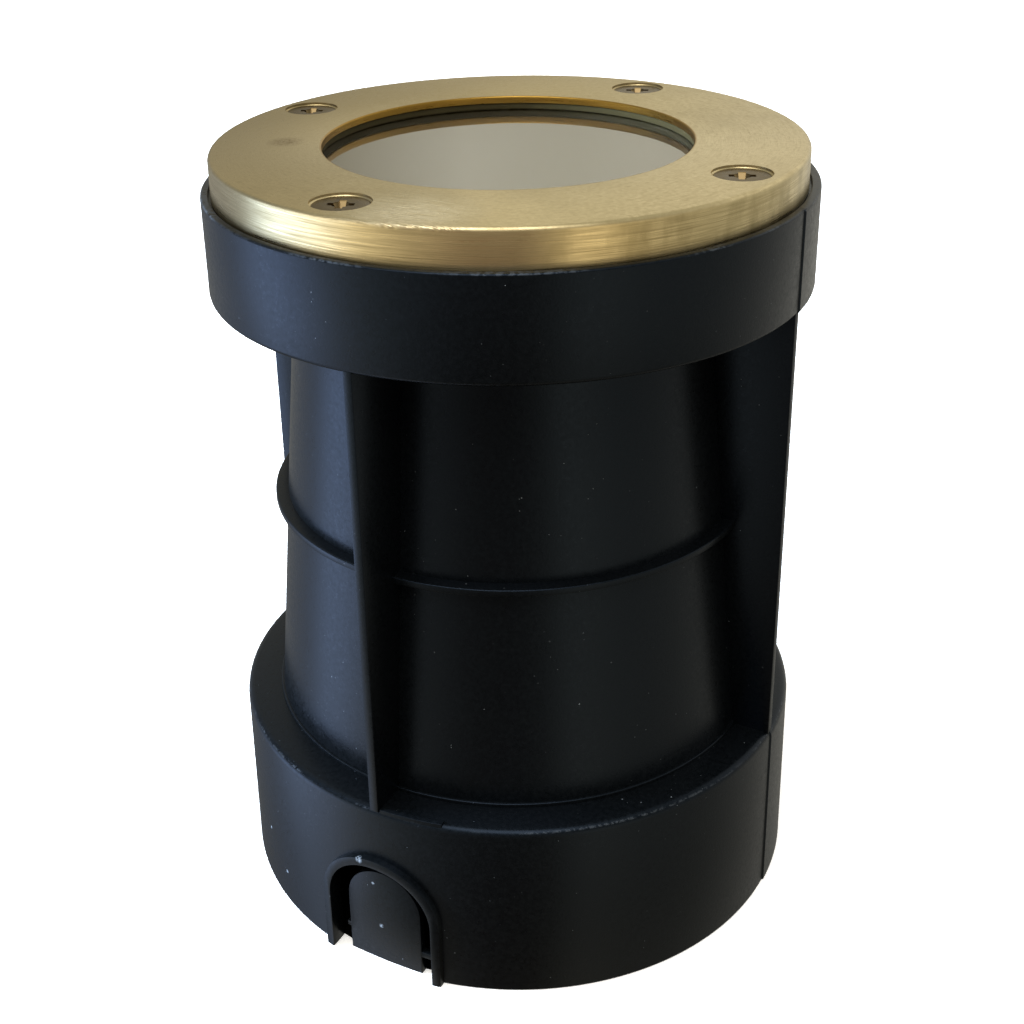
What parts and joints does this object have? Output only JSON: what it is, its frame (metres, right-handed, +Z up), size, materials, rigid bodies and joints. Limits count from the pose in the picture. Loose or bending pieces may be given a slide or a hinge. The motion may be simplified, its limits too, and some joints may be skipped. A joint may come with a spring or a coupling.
{
  "type": "in-ground well light",
  "caption": "Round in-ground well light: brass cover ring with glass lens on a sealed lamp housing that drops into a finned plastic ground sleeve.",
  "frame": {"origin": "on the sleeve's axis, in the plane of its ground end", "axes": "+Z up through the lens; one cable entry faces -Y, the other +Y"},
  "size_m": [0.1206, 0.123, 0.1592],
  "materials": {
    "sleeve_plastic": "moulded, fine texture",
    "housing_plastic": "moulded, satin",
    "brushed_brass": "brushed, unlacquered",
    "plain_brass": "turned",
    "bronzed_screws": "darkened, satin",
    "lens_glass": "polished, toughened",
    "lamp_glass": "polished",
    "reflector_glass": "faceted, metallised",
    "black_rubber": "moulded",
    "gland_nylon": "moulded",
    "zinc_steel": "zinc plated",
    "black_enamel": "stoved enamel",
    "white_nylon": "moulded",
    "terminal_nylon": "moulded",
    "white_ceramic": "glazed ceramic",
    "silicone_sleeving": "silicone over glass braid"
  },
  "bodies": {
    "sleeve": {"ground_sleeve": "sleeve_plastic"},
    "fixture": {"housing_can": "housing_plastic", "cover_screw_inserts": "plain_brass", "lower_lens_gasket": "black_rubber", "swivel_screw": "zinc_steel", "wave_washer": "zinc_steel", "gland_body": "gland_nylon", "gland_flange_washer": "black_rubber", "gland_locknut": "gland_nylon", "gland_cable_seal": "black_rubber", "gland_dome_nut": "gland_nylon"},
    "cover": {"cover_ring": "brushed_brass", "upper_lens_gasket": "black_rubber", "glass_lens": "lens_glass", "cover_screws": "bronzed_screws"},
    "yoke": {"lamp_yoke": "zinc_steel", "terminal_block": "terminal_nylon", "clamp_screws": "zinc_steel"},
    "gimbal": {"gimbal_ring": "black_enamel", "pivot_screws": "zinc_steel", "friction_washers": "white_nylon", "socket_strap": "zinc_steel", "lamp_socket": "white_ceramic", "socket_contacts": "plain_brass", "socket_rivets": "zinc_steel", "socket_lead_near": "silicone_sleeving", "socket_lead_far": "silicone_sleeving"},
    "lamp": {"lamp_reflector": "reflector_glass", "lamp_front_glass": "lamp_glass", "lamp_capsule": "lamp_glass", "lamp_base": "white_ceramic", "lamp_pins": "zinc_steel"}
  },
  "joints": [
    {"name": "fixture_lift", "type": "slide", "parent": "sleeve", "child": "fixture", "axis": [0, 0, 1], "range_m": [0, 0.13]},
    {"name": "cover_lift", "type": "slide", "parent": "fixture", "child": "cover", "axis": [0, 0, 1], "range_m": [0, 0.03]},
    {"name": "lamp_swivel", "type": "hinge", "parent": "fixture", "child": "yoke", "pos_m": [0, 0, 0.061], "axis": [0, 0, 1], "range_deg": [-175, 175]},
    {"name": "lamp_tilt", "type": "hinge", "parent": "yoke", "child": "gimbal", "pos_m": [0, 0, 0.127], "axis": [0.9934, -0.1149, 0], "range_deg": [-15, 15], "deforming": ["socket_lead_near", "socket_lead_far"]},
    {"name": "lamp_pull", "type": "slide", "parent": "gimbal", "child": "lamp", "axis": [0, 0, 1], "range_m": [0, 0.009]}
  ]
}
